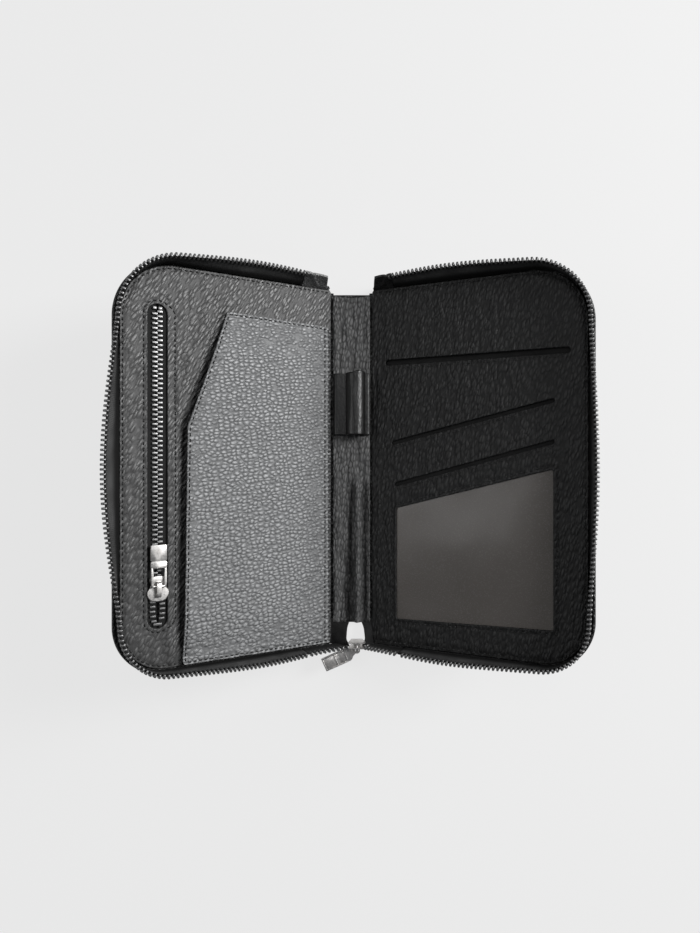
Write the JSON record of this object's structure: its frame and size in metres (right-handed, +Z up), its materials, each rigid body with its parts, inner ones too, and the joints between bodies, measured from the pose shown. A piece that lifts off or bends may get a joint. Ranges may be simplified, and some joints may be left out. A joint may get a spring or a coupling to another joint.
{
  "type": "travel document organizer",
  "caption": "Zip-around leather travel wallet, open, with passport pocket, coin zip, card slots, identity window and pen loop.",
  "frame": {"origin": "centre of the spine's underside, on which the open wallet lies", "axes": "X across the open wallet towards the card-slot cover, Y along the spine away from the main slider, Z up out of the open wallet"},
  "size_m": [0.2618, 0.2442, 0.0854],
  "materials": {
    "outer_leather": "pebbled, satin",
    "lining_leather": "pebbled, satin",
    "pocket_leather": "pebbled, satin",
    "tab_leather": "smooth, satin",
    "board": "pressed fibre board",
    "pocket_fabric": "plain weave",
    "zip_tape": "woven tape",
    "thread": "waxed thread",
    "zip_metal": "polished",
    "hardware_metal": "polished nickel",
    "window_film": "smooth translucent film"
  },
  "bodies": {
    "spine": {"spine_cover_leather": "outer_leather", "spine_stiffener": "board", "spine_lining": "lining_leather", "pen_loop": "lining_leather", "left_fold_leather": "outer_leather", "right_fold_leather": "outer_leather", "left_tape_end": "zip_tape", "right_tape_end": "zip_tape", "left_zip_tail": "zip_tape", "right_zip_tail": "zip_tape", "left_zip_tail_teeth": "zip_metal", "right_zip_tail_teeth": "zip_metal", "main_zip_stop": "zip_metal"},
    "left_cover": {"left_cover_leather": "outer_leather", "left_board": "board", "left_lining": "lining_leather", "left_lining_thread": "thread", "passport_pocket": "pocket_leather", "passport_pocket_thread": "thread", "coin_pocket_bag": "pocket_fabric", "coin_zip_tapes": "zip_tape", "coin_zip_teeth_outer": "zip_metal", "coin_zip_teeth_inner": "zip_metal", "coin_zip_top_stops": "zip_metal", "coin_zip_bottom_stop": "zip_metal", "coin_zip_thread": "thread", "left_zip_tape": "zip_tape", "left_zip_teeth": "zip_metal", "left_zip_end_tab": "tab_leather"},
    "right_cover": {"right_cover_leather": "outer_leather", "right_board": "board", "right_lining": "lining_leather", "right_lining_thread": "thread", "card_pocket_upper": "pocket_fabric", "card_pocket_middle": "pocket_fabric", "card_pocket_lower": "pocket_fabric", "id_window_film": "window_film", "id_window_thread": "thread", "right_zip_tape": "zip_tape", "right_zip_teeth": "zip_metal", "right_zip_end_tab": "tab_leather"},
    "coin_slider": {"coin_slider_body": "hardware_metal"},
    "coin_pull": {"coin_pull": "hardware_metal"},
    "main_slider": {"main_slider_body": "hardware_metal"},
    "main_pull": {"main_pull": "hardware_metal"}
  },
  "joints": [
    {"name": "left_cover_fold", "type": "hinge", "parent": "spine", "child": "left_cover", "pos_m": [-0.0122, 0, 0.0042], "axis": [0, 1, 0], "range_deg": [-32, 58], "deforming": ["left_fold_leather", "left_zip_tail", "left_zip_tail_teeth"]},
    {"name": "right_cover_fold", "type": "hinge", "parent": "spine", "child": "right_cover", "pos_m": [0.0122, 0, 0.0042], "axis": [0, -1, 0], "range_deg": [-26.5, 63.5], "deforming": ["right_fold_leather", "right_zip_tail", "right_zip_tail_teeth"]},
    {"name": "coin_slider_run", "type": "slide", "parent": "left_cover", "child": "coin_slider", "axis": [0, 1, 0], "range_m": [0, 0.142], "deforming": ["coin_zip_tapes", "coin_zip_teeth_outer", "coin_zip_teeth_inner"]},
    {"name": "coin_pull_flip", "type": "hinge", "parent": "coin_slider", "child": "coin_pull", "pos_m": [-0.10387, -0.0645, 0.06413], "axis": [0.848, 0, -0.5299], "range_deg": [0, 150]},
    {"name": "main_slider_run", "type": "slide", "parent": "spine", "child": "main_slider", "axis": [0, 0, 1], "range_m": [0, 0.005]},
    {"name": "main_pull_swing", "type": "hinge", "parent": "main_slider", "child": "main_pull", "pos_m": [0.0033, -0.1131, 0.011], "axis": [0, 0, 1], "range_deg": [0, 115]}
  ]
}
